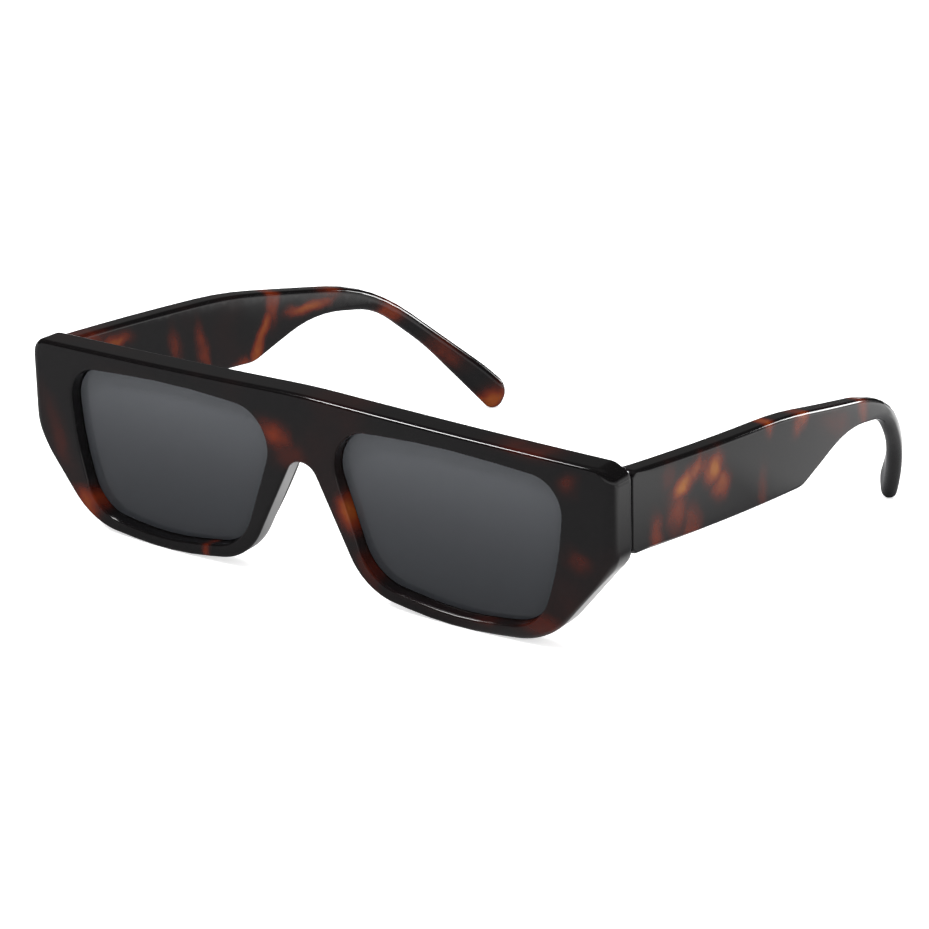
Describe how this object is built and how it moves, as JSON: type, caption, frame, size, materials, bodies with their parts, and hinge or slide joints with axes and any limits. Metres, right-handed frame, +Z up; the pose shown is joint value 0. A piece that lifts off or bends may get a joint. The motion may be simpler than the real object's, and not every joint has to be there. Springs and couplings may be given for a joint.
{
  "type": "sunglasses",
  "caption": "Rectangular sunglasses with a thick dark tortoiseshell acetate front, grey lenses, a straight brow and wide temples that step down to slim curved tips.",
  "frame": {"origin": "centre of the open glasses' bounding box, at the table that the rims and the temple tips rest on", "axes": "+Z up from the table, -Y the way the wearer looks, +X to the wearer's left. The front leans back over the table by 6.4 degrees, as open glasses do."},
  "size_m": [0.1504, 0.1492, 0.0421],
  "materials": {
    "acetate_front": "polished dark tortoiseshell acetate",
    "acetate_temple": "polished dark tortoiseshell acetate",
    "acetate_pad": "polished dark acetate",
    "lens": "neutral grey tint, smooth",
    "core_steel": "drawn flat wire",
    "hinge_steel": "machined",
    "screw_steel": "machined, slotted head"
  },
  "bodies": {
    "front": {"front_frame": "acetate_front", "lens_left": "lens", "lens_right": "lens", "nose_pad_left": "acetate_pad", "nose_pad_right": "acetate_pad", "hinge_front_left": "hinge_steel", "hinge_front_right": "hinge_steel", "hinge_screw_left": "screw_steel", "hinge_screw_right": "screw_steel"},
    "temple_left": {"temple_left": "acetate_temple", "hinge_temple_left": "hinge_steel", "core_wire_left": "core_steel"},
    "temple_right": {"temple_right": "acetate_temple", "hinge_temple_right": "hinge_steel", "core_wire_right": "core_steel"}
  },
  "joints": [
    {"name": "fold_left", "type": "hinge", "parent": "front", "child": "temple_left", "pos_m": [0.06804, -0.06284, 0.03055], "axis": [0, -0.1116, 0.9938], "range_deg": [0, 85]},
    {"name": "fold_right", "type": "hinge", "parent": "front", "child": "temple_right", "pos_m": [-0.06804, -0.06284, 0.03055], "axis": [0, 0.1116, -0.9938], "range_deg": [0, 73]}
  ]
}
